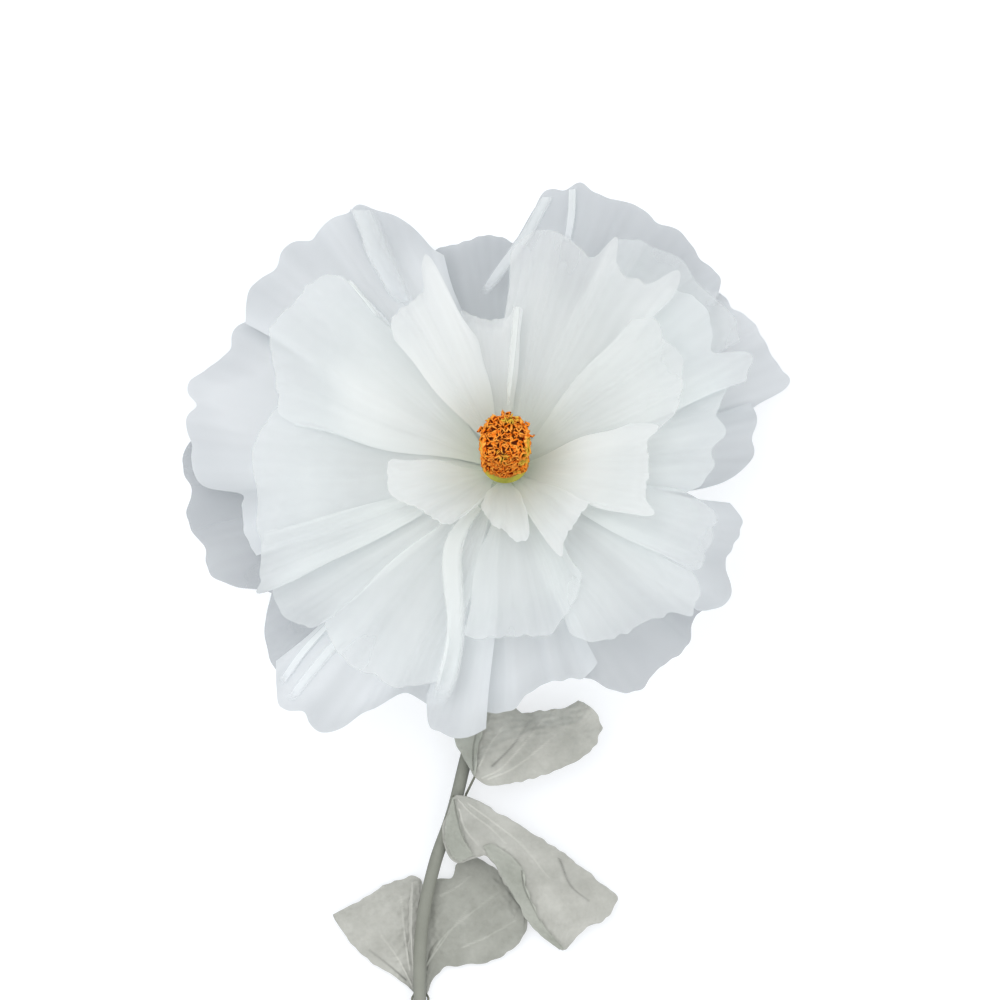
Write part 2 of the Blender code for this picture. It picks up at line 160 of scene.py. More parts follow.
class Finish:
    """A material, and the method that adds its nodes."""

    def __init__(self, name):
        self.material = bpy.data.materials.new(name)
        self.material.use_nodes = True
        self.tree = self.material.node_tree
        self.shader = self.tree.nodes["Principled BSDF"]
        self.output = self.tree.nodes["Material Output"]

    def add(self, kind, settings=(), output=0, **inputs):
        """A node: its settings first, then values or links by socket name. Gives one of its outputs."""
        node = self.tree.nodes.new(kind)
        for key, setting in dict(settings).items():
            setattr(node, key, setting)
        for key, item in inputs.items():
            self.put(node.inputs[key.replace("_", " ")], item)
        return Value(self.tree, node.outputs[output])

    def put(self, place, item):
        """Links a Value to a socket, or sets the socket to a plain value."""
        if isinstance(item, Value):
            self.tree.links.new(item.socket, place)
        else:
            place.default_value = item

    def mix(self, factor, first, second):
        """A mix of two colours."""
        node = self.tree.nodes.new("ShaderNodeMix")
        node.data_type = "RGBA"
        self.put(node.inputs[0], factor)
        self.put(node.inputs[6], first if isinstance(first, Value) else (*first, 1))
        self.put(node.inputs[7], second if isinstance(second, Value) else (*second, 1))
        return Value(self.tree, node.outputs[2])

    def across_and_along(self):
        """The sheet's own map: 0 to 1 across it and 0 to 1 from its foot to its rim."""
        split = self.tree.nodes.new("ShaderNodeSeparateXYZ")
        where = self.tree.nodes.new("ShaderNodeUVMap")
        self.tree.links.new(where.outputs[0], split.inputs[0])
        return Value(self.tree, split.outputs[0]), Value(self.tree, split.outputs[1])

    def place(self):
        """The place in space, as three numbers."""
        split = self.tree.nodes.new("ShaderNodeSeparateXYZ")
        where = self.tree.nodes.new("ShaderNodeTexCoord")
        self.tree.links.new(where.outputs["Object"], split.inputs[0])
        return [Value(self.tree, output) for output in split.outputs]

    def point(self, x, y, z):
        """Three numbers as one vector."""
        return self.add("ShaderNodeCombineXYZ", X=x, Y=y, Z=z)

    def noise(self, place, scale, detail=3.0, roughness=0.5):
        """Soft noise of this scale, from about 0.2 to 0.8. The place is three numbers."""
        vector = self.point(*place)
        return self.add("ShaderNodeTexNoise", Vector=vector, Scale=scale, Detail=detail, Roughness=roughness)

    def bump(self, height, strength, distance):
        """Raises the surface a little where height is large."""
        made = self.add("ShaderNodeBump", Height=height, Strength=strength, Distance=distance)
        self.put(self.shader.inputs["Normal"], made)

    def set(self, **inputs):
        """Sets or links sockets of the main shader."""
        for key, item in inputs.items():
            place = self.shader.inputs[key.replace("_", " ")]
            self.put(place, (*item, 1) if isinstance(item, tuple) else item)


print("shader helpers ready")

# %% [markdown]
# The petals are a thin white tissue. Light goes through it, so one layer looks grey-blue and several
# layers look white. Part of each ray therefore passes straight through, part is scattered to the other
# side, and the rest is reflected. How much a place of the sheet hides is its cover, and each sheet carries
# it as an attribute. Close to the middle of the flower a darker green-yellow is mixed into the paper: it is
# painted shade, tinted like light bounced from the green-yellow middle.


# %% Tissue of the petals
def petal_tissue(ring, rim_colour, heart_colour):
    """Tissue with these colours at its rim and at its heart. Where its cover is full, GLOW is the share of
    light that is scattered through it, and where the cover is low it is less."""
    finish = Finish(ring + "_petal_tissue")
    _, along = finish.across_and_along()
    x, y, _ = finish.place()
    out = ((x - HEAD_X) ** 2 + (y - HEAD_Y) ** 2) ** 0.5
    cover = finish.add("ShaderNodeAttribute", {"attribute_name": "cover"}, output=2)
    paper = finish.mix(along.ramp(0.25, 1.0), heart_colour, rim_colour)
    # Painted shade near the middle of the flower: the paper is darkened towards a green-yellow, like light
    # bounced from the middle
    painted_centre_shade = (1 - out.ramp(0.016, 0.070)) * 0.42
    colour = finish.mix(painted_centre_shade, paper, (0.53, 0.57, 0.30))
    finish.set(Base_Color=colour, Roughness=0.75, Specular_IOR_Level=0.0, Alpha=cover)
    through = finish.add("ShaderNodeBsdfTranslucent", Color=(0.93, 0.95, 0.95, 1))
    both = finish.tree.nodes.new("ShaderNodeMixShader")
    finish.put(both.inputs[0], cover.ramp(0, 0.5) * GLOW)
    finish.tree.links.new(finish.shader.outputs[0], both.inputs[1])
    finish.tree.links.new(through.socket, both.inputs[2])
    finish.tree.links.new(both.outputs[0], finish.output.inputs[0])
    return finish.material


GLOW = 0.45
TISSUE = {
    "outer": petal_tissue("outer", (0.93, 0.95, 0.98), (0.94, 0.96, 0.97)),
    "middle": petal_tissue("middle", (0.93, 0.96, 0.97), (0.95, 0.97, 0.95)),
    "inner": petal_tissue("inner", (0.96, 0.97, 0.97), (0.94, 0.96, 0.94)),
}
print("tissues:", *TISSUE)

# %% [markdown]
# Every petal is a fan of tissue, gathered at its foot on the hub. The tables below give each one's level
# on the hub and its rim, seen from above: angle in degrees, and reach as a share of the head's width. The
# solid petals are made from the same numbers, so each fine sheet lies where its solid does.

# %% Tables of the petals
HEAD_WIDTH = 0.500
OUTER_PETALS = [
    (0, [(82, 0.340), (87, 0.348), (91, 0.360), (96, 0.364), (101, 0.358), (108, 0.358), (114, 0.344)]),
    (2, [(35, 0.410), (37, 0.438), (39, 0.458), (41.5, 0.460), (45, 0.456), (48, 0.462), (52, 0.468),
     (57, 0.458), (61, 0.464), (66, 0.460), (71, 0.456), (75, 0.464), (77, 0.450), (80, 0.446), (82, 0.432),
     (84, 0.390), (89, 0.340)]),
    (0.4, [(9, 0.400), (11.5, 0.428), (13, 0.468), (15.4, 0.486), (17, 0.480), (20, 0.470), (24.6, 0.468),
     (29, 0.462), (33, 0.448), (37, 0.444), (41, 0.424)]),
    (1, [(-12, 0.294), (-10, 0.322), (-7, 0.362), (-3.4, 0.390), (1.3, 0.410), (4.4, 0.406), (8, 0.418),
     (12, 0.410)]),
    (2, [(-39, 0.400), (-37.5, 0.414), (-34.5, 0.432), (-32, 0.434), (-29.5, 0.422), (-26.5, 0.402),
     (-23, 0.398), (-18.5, 0.404), (-14, 0.394), (-12, 0.376)]),
    (0, [(-72, 0.380), (-68, 0.398), (-66, 0.418), (-61.7, 0.438), (-58.6, 0.440), (-55.5, 0.430),
     (-49, 0.430), (-44.4, 0.424), (-42, 0.410), (-37, 0.410)]),
    (1, [(-97, 0.410), (-94, 0.418), (-87.5, 0.410), (-85, 0.392), (-80.6, 0.378), (-75, 0.378),
     (-70, 0.384), (-66, 0.370)]),
    (3, [(-108, 0.410), (-106, 0.452), (-103, 0.462), (-100, 0.466), (-98, 0.462), (-94, 0.444)]),
    (2, [(-138, 0.500), (-134.6, 0.528), (-132, 0.548), (-130.5, 0.544), (-128, 0.530), (-126, 0.540),
     (-123, 0.536), (-120.5, 0.512), (-119, 0.480), (-117, 0.460), (-114, 0.426), (-111, 0.416),
     (-107, 0.424), (-103.5, 0.416)]),
    (1, [(-151, 0.430), (-148.5, 0.448), (-146, 0.470), (-141.4, 0.498), (-136, 0.512), (-133, 0.500)]),
    (0, [(177, 0.516), (180, 0.532), (183, 0.530), (186, 0.520), (189, 0.528), (193, 0.532), (196.5, 0.516),
     (200, 0.522), (203, 0.518), (206, 0.490), (209, 0.456), (211, 0.440)]),
    (1, [(150, 0.472), (152.6, 0.480), (155.3, 0.494), (158.6, 0.486), (161.3, 0.496), (164, 0.512),
     (166.8, 0.532), (169, 0.532), (170.5, 0.514), (172.6, 0.526), (175, 0.526), (178, 0.516), (183, 0.512),
     (186.4, 0.490), (188, 0.444), (191, 0.440), (196, 0.444), (202, 0.440)]),
    (2, [(107, 0.344), (109.4, 0.362), (111.2, 0.392), (113.8, 0.424), (117.2, 0.454), (119.8, 0.476),
     (122.9, 0.476), (126.5, 0.484), (130.2, 0.480), (132, 0.478), (134.5, 0.494), (137.8, 0.496),
     (141.5, 0.488), (144.4, 0.498), (147.2, 0.502), (150, 0.492), (153, 0.480)]),
]
MIDDLE_PETALS = [
    (6, [(131, 0.300), (132, 0.382), (133.7, 0.406), (138.3, 0.424), (144.2, 0.426), (151.7, 0.434),
     (160, 0.400), (166, 0.380), (170.5, 0.366), (172, 0.340)]),
    (5, [(168, 0.380), (172, 0.392), (177, 0.408), (182.2, 0.412), (187, 0.408), (192, 0.412), (197, 0.420),
     (201, 0.422)]),
    (6, [(198, 0.410), (201, 0.422), (205, 0.438), (207.2, 0.442), (210, 0.442), (210.8, 0.400)]),
    (4, [(208, 0.424), (210.4, 0.436), (213, 0.442), (215.8, 0.444), (220, 0.428), (223, 0.392),
     (224, 0.340)]),
    (5, [(223, 0.400), (229, 0.416), (235, 0.422), (240, 0.414), (244, 0.416), (249, 0.400), (254, 0.380)]),
    (6, [(257, 0.296), (260, 0.302), (266, 0.296), (273, 0.294), (280, 0.298), (283.5, 0.300), (290, 0.280),
     (299, 0.248), (303, 0.230)]),
    (5, [(290, 0.310), (294.4, 0.332), (298, 0.340), (304.6, 0.350), (311, 0.354), (314, 0.366),
     (317.4, 0.378), (319, 0.400), (321, 0.392), (325, 0.386), (328, 0.360)]),
    (6, [(328, 0.356), (330, 0.366), (333.5, 0.362), (337, 0.364), (340.2, 0.360), (345, 0.350),
     (347, 0.324), (349, 0.282)]),
    (5, [(348, 0.300), (351, 0.320), (357, 0.340), (362.4, 0.340), (365, 0.360), (371, 0.352), (377, 0.380),
     (381, 0.392)]),
    (6, [(377, 0.410), (383.5, 0.424), (386, 0.380), (390, 0.392), (396, 0.406), (401, 0.400),
     (406, 0.380)]),
    (4, [(386, 0.428), (391, 0.438), (396, 0.432), (402, 0.424), (408, 0.432), (414, 0.420), (420, 0.410),
     (424, 0.390)]),
]
INNER_PETALS = [
    (11, [(182, 0.184), (184, 0.190), (191, 0.194), (199, 0.196), (205, 0.184), (211, 0.166), (222, 0.156),
     (231, 0.144), (238, 0.110), (243, 0.088)]),
    (12, [(244, 0.090), (252, 0.104), (262, 0.116), (269, 0.122), (280, 0.144), (287, 0.134), (292, 0.090)]),
    (11, [(291, 0.100), (294, 0.134), (297, 0.176), (298.5, 0.186), (304, 0.170), (312, 0.160), (322, 0.156),
     (331, 0.158)]),
    (10, [(330, 0.172), (335, 0.228), (336.5, 0.250), (343, 0.238), (353.4, 0.234), (360, 0.232),
     (366, 0.234), (371.5, 0.248), (374, 0.210)]),
    (10, [(83, 0.236), (84.5, 0.244), (88, 0.226), (94, 0.222), (100, 0.226), (104, 0.236), (107, 0.248)]),
    (11, [(103, 0.190), (106, 0.220), (108, 0.248), (110.6, 0.340), (113.6, 0.336), (116, 0.300),
     (119, 0.294), (126, 0.290), (131, 0.282), (134, 0.260)]),
    (8, [(43, 0.370), (44.5, 0.400), (47.4, 0.408), (49, 0.376), (53, 0.360), (56.7, 0.352), (60, 0.364),
     (63.3, 0.398), (64.8, 0.366), (70, 0.360), (73.3, 0.368), (78, 0.374), (81.6, 0.372), (86, 0.352),
     (88.5, 0.330)]),
    (9, [(8, 0.240), (13, 0.280), (18, 0.300), (24, 0.316), (30, 0.330), (36, 0.320), (42, 0.330),
     (47, 0.300)]),
]
print("petals:", len(OUTER_PETALS), len(MIDDLE_PETALS), len(INNER_PETALS))

# %% [markdown]
# A petal starts as a flat grid. Its columns become rays from the foot to the rim, and then the sheet gets
# its relief: the slope of its level, pleats that open towards the rim, and a ruffle along the rim.

# %% Relief of a petal
HEAD_HEIGHT = 0.066
HEAD_BACK = 0.016
LEVEL_STEP = 0.002
TOP_LEVEL = 12
HUB_RADIUS = 0.0153
HEAD_RADIUS = HEAD_WIDTH / 2
LOW_RISE = math.radians(6)
HIGH_RISE = math.radians(40)
FOOT_HALF_ANGLE = 19
FLANK = 0.22
RISE_END = 0.84
DROOP, DROOP_LESS = 0.066, 0.026
WAVE_HEIGHT = 0.006
PLEAT_WIDTH = 0.024
PLEAT_DEPTH = 0.0028
RUFFLE_DEPTH = 0.0022
FRAY = 0.0010


def smooth(x):
    """0 below 0, 1 above 1, and a rounded rise between."""
    x = np.clip(x, 0, 1)
    return x * x * (3 - 2 * x)


def ripples(u, v, seed, low, high, count=7):
    """An even, aimless waviness from -1 to 1, of crossing waves between two pitches."""
    dice = random.Random(seed)
    total = np.zeros_like(u)
    for _ in range(count):
        heading = dice.uniform(0, math.tau)
        pitch = dice.uniform(low, high)
        phase = dice.uniform(0, math.tau)
        total += np.sin((u * math.cos(heading) + v * math.sin(heading)) * pitch * math.tau + phase)
    return total / math.sqrt(count) / 1.4


def rounded_line(x, knots, values):
    """A rounded line through the given points."""
    knots, values = np.array(knots, float), np.array(values, float)
    slopes = np.gradient(values, knots)
    i = np.clip(np.searchsorted(knots, x) - 1, 0, len(knots) - 2)
    span = knots[i + 1] - knots[i]
    u = np.clip((x - knots[i]) / span, 0, 1)
    start = (1 + 2 * u) * (1 - u) ** 2 * values[i] + u * (1 - u) ** 2 * span * slopes[i]
    end = u * u * (3 - 2 * u) * values[i + 1] + u * u * (u - 1) * span * slopes[i + 1]
    return start + end


def petal_height(x, y, out, level):
    """The height of a smooth petal of this level, as in its solid."""
    share = level / TOP_LEVEL
    ring_y = -HEAD_BACK + AXIS.y * level * LEVEL_STEP
    ring_z = HEAD_HEIGHT + AXIS.z * level * LEVEL_STEP
    angle, reach = np.arctan2(y, x), np.hypot(x, y)
    slope = math.tan(LOW_RISE + (HIGH_RISE - LOW_RISE) * share)
    tilted = ring_z - (y - ring_y) * math.tan(HEAD_TILT) + x * math.tan(HEAD_LEAN)
    risen = slope * out * (1 - out / RISE_END)
    side = 1 - np.maximum(0, np.sin(angle)) ** 1.5
    droop = (DROOP - DROOP_LESS * np.maximum(0, -np.sin(angle))) * side
    wave = WAVE_HEIGHT * (out / HEAD_RADIUS) * np.sin(7 * angle)
    return tilted + risen - droop * (1 - share) ** 1.5 * (reach / HEAD_RADIUS) ** 2 + wave


def pleats(s, t, seed, count):
    """Rounded folds of uneven width that run from the foot to the rim and wander a little, from -1 to 1."""
    dice = random.Random(seed)
    edges = np.cumsum([dice.uniform(0.4, 1.6) for _ in range(count)])
    knots = np.concatenate([[0], edges / edges[-1]])
    heights = [dice.uniform(0.15, 1) * (1 if i % 2 else -1) for i in range(count + 1)]
    wander = s + 0.25 / count * ripples(s * 0.6, t, seed + 1, 0.4, 1.1, 3)
    return rounded_line(np.clip(wander, 0, 1), knots, heights)


print("relief ready")

# %% [markdown]
# The rule for a petal gives the place of every point of its grid and how much the tissue hides there. Each
# one draws its own random numbers, so no two petals are pleated alike. The sheet gets its thickness last.


# %% Making a petal
def petal_points(rim, level, seed, s, t, streaks):
    """The places of a petal's points, for shares s across and t along it, and the streaks of its pleats."""
    angles = [a for a, _ in rim]
    middle, half = (angles[0] + angles[-1]) / 2, (angles[-1] - angles[0]) / 2
    turn = angles[0] + s * 2 * half
    reach = rounded_line(turn, angles, [r * HEAD_WIDTH for _, r in rim])
    reach = reach + FRAY * ripples(turn / 40, turn * 0, seed + 5, 4, 14, 9)
    foot_half = min(FOOT_HALF_ANGLE, 0.8 * half)
    foot_turn = middle + (turn - middle) / half * foot_half
    wider = 1 + FLANK * np.sin(math.pi * np.clip(t / 0.9, 0, 1)) ** 2
    angle = np.radians(middle + (foot_turn + (turn - foot_turn) * (1 - (1 - t) ** 1.5) - middle) * wider)
    foot = HUB_RADIUS / np.hypot(np.cos(angle), np.sin(angle) / math.cos(HEAD_TILT))
    radius = foot + (reach - foot) * t
    ring_y = -HEAD_BACK + AXIS.y * level * LEVEL_STEP
    x = radius * np.cos(angle)
    y = radius * np.sin(angle) + ring_y * (1 - t)
    width = 2 * half * math.pi / 180 * HEAD_WIDTH * 0.4
    count = max(4, round(width / PLEAT_WIDTH))
    z = petal_height(x, y, radius - foot, level)
    folded = pleats(s, t, seed, count)
    fine = pleats(s, t, seed + 2, 4 * count)
    z = z + PLEAT_DEPTH * t * folded + (0.0001 + 0.0003 * streaks) * t ** 0.7 * fine
    z = z + RUFFLE_DEPTH * t ** 3 * ripples(s * width / 0.2, t * 0.5, seed + 3, 2, 6)
    return x + HEAD_X, y + HEAD_Y, z, reach, (folded + 0.3 * fine) * t


def petal_cover(x, y, t, reach, seed, streak, style):
    """How much each place of a petal hides: less at its rim, and uneven in patches and along its pleats."""
    cover, thin, soft, streaks = style
    rim = thin + (1 - thin) * smooth((1 - t) * reach / soft)
    patches = ripples(x, y, seed + 9, 4, 13, 5)
    uneven = 1 + PATCHES * patches + streaks * STREAKS * streak
    return np.clip(cover * rim * uneven, LEAST_COVER, MOST_COVER)


def sheet_grid(name, columns, rows):
    """A flat grid, and for its points the shares across and along it."""
    bpy.ops.mesh.primitive_grid_add(x_subdivisions=columns, y_subdivisions=rows, size=1, location=(0, 0, 0))
    sheet = bpy.context.object
    sheet.name = sheet.data.name = name
    flat = np.empty(3 * len(sheet.data.vertices))
    sheet.data.vertices.foreach_get("co", flat)
    return sheet, flat[0::3] + 0.5, flat[1::3] + 0.5


def finish_sheet(sheet, places, mark, values, tissue, slot):
    """Gives a sheet its places, its painted attribute, its thickness and its tissue."""
    sheet.data.vertices.foreach_set("co", np.stack(places, 1).ravel())
    painted = sheet.data.attributes.new(mark, "FLOAT", "POINT")
    painted.data.foreach_set("value", values)
    paper = sheet.modifiers.new("Paper", "SOLIDIFY")
    paper.thickness = SHEET_THICKNESS
    paper.offset = 0
    bpy.ops.object.modifier_apply(modifier="Paper")
    bpy.ops.object.shade_smooth_by_angle(angle=SHARP_ANGLE)
    paint(sheet, tissue)
    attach(sheet, "root")


def add_petal(ring, number, level, rim, seed):
    """One petal from its row of the table. Gives the number of its triangles."""
    name = f"{ring}_petal_{number:02}"
    style = STYLES[ring].get(number, STYLES[ring][0])
    width = math.radians(rim[-1][0] - rim[0][0]) * max(r for _, r in rim) * HEAD_WIDTH
    columns = int(min(130, max(40, width / COLUMN_WIDTH)))
    rows = int(max(20, max(r for _, r in rim) * HEAD_WIDTH / ROW_LENGTH))
    petal, s, t = sheet_grid(name + "_tissue", columns, rows)
    x, y, z, reach, streak = petal_points(rim, level, seed, s, t, style[3])
    cover = petal_cover(x, y, t, reach, seed, streak, style)
    finish_sheet(petal, (x, y, z), "cover", cover, TISSUE[ring], ring + "_petal_paper")
    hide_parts(name)
    return 2 * len(petal.data.polygons)


SHEET_THICKNESS = 0.0003
SHARP_ANGLE = math.radians(60)
PATCHES, STREAKS = 0.32, 0.18
LEAST_COVER, MOST_COVER = 0.03, 0.97
COLUMN_WIDTH, ROW_LENGTH = 0.0015, 0.0055

# Cover of one skin of the tissue, the share of it left at the rim, how wide that soft rim is in metres,
# and how strong its streaks are. The petals are numbered as in their ring's table, and 0 is for those that
# aren't listed. The low covers of outer petals 6, 10 and 11 and of inner petal 1 let more of the darker
# floor through, so that these petals read darker: painted shade for the shadow the flower casts on them.
STYLES = {
    "outer": {0: (0.60, 0.75, 0.030, 0.5), 1: (0.40, 0.75, 0.030, 0.6), 2: (0.42, 0.75, 0.060, 0.6),
        3: (0.95, 0.80, 0.050, 1.2), 4: (0.70, 0.75, 0.040, 1.2), 5: (0.62, 0.75, 0.030, 0.5),
        6: (0.30, 0.75, 0.050, 0.4), 9: (0.66, 0.75, 0.030, 1.8), 10: (0.20, 0.80, 0.030, 0.8),
        11: (0.17, 0.95, 0.030, 1.0), 12: (0.90, 0.75, 0.060, 0.8), 13: (0.74, 0.80, 0.060, 0.8)},
    "middle": {0: (0.62, 0.30, 0.070, 0.5), 1: (0.82, 0.30, 0.100, 0.5), 2: (0.54, 0.45, 0.070, 0.6),
        3: (0.46, 0.60, 0.050, 0.8), 5: (0.30, 0.60, 0.070, 1.0), 6: (0.30, 0.70, 0.050, 0.8),
        7: (0.54, 0.40, 0.070, 0.8), 9: (0.66, 0.60, 0.050, 1.2), 10: (0.56, 0.60, 0.060, 1.2),
        11: (0.50, 0.30, 0.060, 1.0)},
    "inner": {0: (0.66, 0.80, 0.012, 0.5), 1: (0.36, 0.90, 0.012, 0.4), 5: (0.36, 0.60, 0.012, 0.3),
        7: (0.36, 0.50, 0.060, 1.0), 8: (0.34, 0.50, 0.060, 1.0)},
}
triangles = []
for ring, petals in (("outer", OUTER_PETALS), ("middle", MIDDLE_PETALS), ("inner", INNER_PETALS)):
    for number, (level, rim) in enumerate(petals, 1):
        triangles.append(add_petal(ring, number, level, rim, 100 * len(triangles) + 7))
print("petals made, triangles:", sum(triangles), "most in one:", max(triangles))

# %% [markdown]
# Here and there a petal's edge is folded over, or a pleat is pressed flat. The tissue is double there and
# looks like a whiter strip. A strip is drawn by its two edges in pixels of the view and follows its
# petal's surface, which rays from above find.


# %% Folded strips
def at_pixel(points):
    """Pixels of the view as places on the table."""
    x, y = np.array(points).T
    return np.stack([HEAD_X + (x - HEAD_PIXEL_X) * PIXEL, HEAD_Y + (HEAD_PIXEL_Y - y) * PIXEL], 1)


def along_line(points, share):
    """Places at shares of the way along a line of pixels, rounded a little at its corners."""
    points = at_pixel(points)
    steps = np.concatenate([[0], np.cumsum(np.hypot(*np.diff(points, axis=0).T))])
    knots = steps / steps[-1]
    return [rounded_line(share, knots, points[:, i]) for i in (0, 1)]


def surface_heights(piece, x, y):
    """The top of a piece under each point, or its nearest place where a point is beside it."""
    corners = [piece.matrix_world @ vert.co for vert in piece.data.vertices]
    tree = BVHTree.FromPolygons(corners, [tuple(face.vertices) for face in piece.data.polygons])
    middle = sum(corner.z for corner in corners) / len(corners)
    heights = []
    for px, py in zip(x, y):
        hit = tree.ray_cast(Vector((px, py, 1)), Vector((0, 0, -1)))[0]
        heights.append((hit or tree.find_nearest(Vector((px, py, middle)))[0]).z)
    return np.array(heights)


def sheet_between(name, left, right, across_steps, along_steps):
    """A flat grid between two lines, and for its points the shares across and along and the places."""
    sheet, across, along = sheet_grid(name, across_steps, along_steps)
    (lx, ly), (rx, ry) = along_line(left, along), along_line(right, along)
    return sheet, across, along, lx + (rx - lx) * across, ly + (ry - ly) * across


def even_along(z):
    """Heights evened out along a strip, so that it bridges the steps below it: first the highest of a few
    rows, then the mean of a few."""
    rows = z.reshape(STRIP_ROWS + 1, -1)
    spare = (HIGHEST_OF + MEAN_OF) // 2 - 1
    padded = np.pad(rows, ((spare, spare), (0, 0)), "edge")
    highest = np.max([padded[i:i + STRIP_ROWS + MEAN_OF] for i in range(HIGHEST_OF)], axis=0)
    return (sum(highest[i:i + STRIP_ROWS + 1] for i in range(MEAN_OF)) / MEAN_OF).ravel()


STRIP_COLUMNS, STRIP_ROWS = 10, 40
HIGHEST_OF, MEAN_OF = 5, 9
STRIP_LIFT = 0.0022

# Each strip: the petals that it lies on, its cover, how far its middle stands off them, the shares of its
# width that are soft at its two edges, and those edges
STRIPS = [
    (["outer_petal_13"], 0.66, 0.001, (0.01, 0.8), [(349, 207), (358, 230), (365, 252), (377, 273),
     (392, 300)],
     [(376, 208), (389, 236), (401, 262), (412, 290), (422, 318)]),
    (["outer_petal_02", "outer_petal_01"], 0.60, 0.002, (0.01, 0.6),
     [(542, 194), (530, 214), (518, 235), (498, 262), (479, 291)],
     [(555, 195), (545, 214), (533, 237), (510, 268), (486, 298)]),
    (["outer_petal_02"], 0.66, 0.001, (0.01, 0.2), [(569, 187), (568, 212), (564, 240)],
     [(577, 186), (576, 212), (571, 242)]),
    (["outer_petal_09"], 0.80, 0.001, (0.01, 0.2), [(326, 623), (303, 647), (279, 680)],
     [(330, 627), (308, 652), (284, 686)]),
    (["outer_petal_09"], 0.75, 0.001, (0.01, 0.6), [(338, 634), (314, 662), (287, 697)],
     [(347, 640), (322, 669), (294, 704)]),
    (["middle_petal_01"], 0.45, 0.001, (0.01, 0.6), [(347, 281), (361, 298), (377, 319)],
     [(352, 280), (367, 298), (382, 318)]),
    (["inner_petal_05"], 0.50, 0.001, (0.6, 0.01), [(512, 307), (509, 351), (505, 407)],
     [(520, 307), (516, 351), (509, 409)]),
    (["middle_petal_05", "outer_petal_08"], 0.66, 0.006, (0.01, 0.3),
     [(476, 504), (457, 521), (444, 543), (442, 562), (444, 590), (447, 619), (445, 645), (438, 672),
      (431, 700)],
     [(482, 510), (471, 528), (464, 548), (464, 580), (466, 619), (464, 650), (458, 680), (449, 704)]),
]
for count, (petals, cover, lift, (soft_left, soft_right), left, right) in enumerate(STRIPS):
    name = f"{petals[0]}_strip_{count + 1}"
    strip, across, along, x, y = sheet_between(name, left, right, STRIP_COLUMNS, STRIP_ROWS)
    z = np.max([surface_heights(bpy.data.objects[petal + "_tissue"], x, y) for petal in petals], axis=0)
    z = even_along(z) + STRIP_LIFT + lift * np.sin(math.pi * along)
    covers = cover * smooth(across / soft_left) * smooth((1 - across) / soft_right) * smooth(5 * (1 - along))
    ring = petals[0].split("_")[0]
    finish_sheet(strip, (x, y, z), "cover", covers, TISSUE[ring], ring + "_petal_paper")
print("strips:", len(STRIPS))

# %% [markdown]
# The middle of the flower is a crumpled orange mass, much like a cockscomb: hundreds of narrow ruffled
# edges stand side by side, bright at their tips and dark in between. A single ruffle is a short strip that
# winds over the surface, so it is modelled once as a rule and laid at many places round the pod and over
# its top.

# %% Papers of the middle
HUB_LID = 0.003
HUB_TOP = Vector((HEAD_X, HEAD_Y - HEAD_BACK, HEAD_HEIGHT)) + AXIS * (TOP_LEVEL * LEVEL_STEP + HUB_LID)


def frill_finish():
    """Orange paper with some yellow-green ruffles. Each ruffle is painted dark red towards its root as the
    shade between the ruffles, and its lip is orange with yellow patches as painted highlights.
    """
    finish = Finish("frill_tissue")
    x, y, z = finish.place()
    _, along = finish.across_and_along()
    blotch = finish.noise((x, y, z), 260, 2)
    # Painted shade and light: dark red at the roots of the ruffles, and bright orange with yellow highlight
    # patches at their lips
    low = finish.mix(blotch.ramp(0.4, 0.6), (0.16, 0.010, 0.001), (0.40, 0.045, 0.002))
    high = finish.mix(blotch.ramp(0.35, 0.65), (0.92, 0.20, 0.004), (1.0, 0.45, 0.07))
    orange = finish.mix(along.ramp(0.62, 0.98), low, high)
    green = finish.noise((x, y, z), 75, 1).ramp(0.56, 0.62)
    colour = finish.mix(green * 0.75, orange, (0.70, 0.58, 0.07))
    finish.set(Base_Color=colour, Roughness=0.6, Specular_IOR_Level=0.1)
    finish.bump(blotch, 0.3, 0.0003)
    return finish.material


def pod_finish():
    """Yellow-green at the foot, and above it dark orange, the painted shade between the ruffles."""
    finish = Finish("pod_tissue")
    x, y, z = finish.place()
    blotch = finish.noise((x, y, z), 120, 4)
    above = x * AXIS.x + y * AXIS.y + z * AXIS.z - HUB_TOP.dot(AXIS)
    foot = finish.mix(blotch.ramp(0.35, 0.7), (0.50, 0.48, 0.06), (0.32, 0.33, 0.04))
    # Painted shade: above its foot the pod is seen only between the ruffles, so it is dark orange there
    top = finish.mix(blotch.ramp(0.40, 0.62), (0.34, 0.04, 0.002), (0.62, 0.17, 0.008))
    finish.set(Base_Color=finish.mix(above.ramp(0.009, 0.014), foot, top), Roughness=0.7)
    finish.bump(blotch, 0.4, 0.0005)
    return finish.material


def green_finish(name, colour, dark):
    """Plain green paper with darker blotches."""
    finish = Finish(name)
    x, y, z = finish.place()
    blotch = finish.noise((x, y, z), 120, 4)
    finish.set(Base_Color=finish.mix(blotch.ramp(0.35, 0.7), colour, dark), Roughness=0.7)
    finish.bump(blotch, 0.4, 0.0005)
    return finish.material


FRILL_TISSUE = frill_finish()
POD_TISSUE = pod_finish()
print("papers of the middle ready")

# %% [markdown]
# The mass is a short column with a domed top. One rule gives the points of its side and another those of
# its top, so the same ruffle can be laid on either. All ruffles of one frill are one strip of paper, so
# one mesh.

# %% Ruffles
BODY_RADIUS = 0.0178
BODY_LOW, BODY_HIGH = 0.0135, 0.0590
RUFFLE_STEPS = 16
ROOT_DEPTH = 0.0006
RUFFLE_ROWS = [(0, 0.0006), (0.55, 0.0008), (0.85, 0.0012), (1.0, 0.0008)]
ROUND_SECTION = [0, 2, 4, 6, 7, 5, 3, 1]


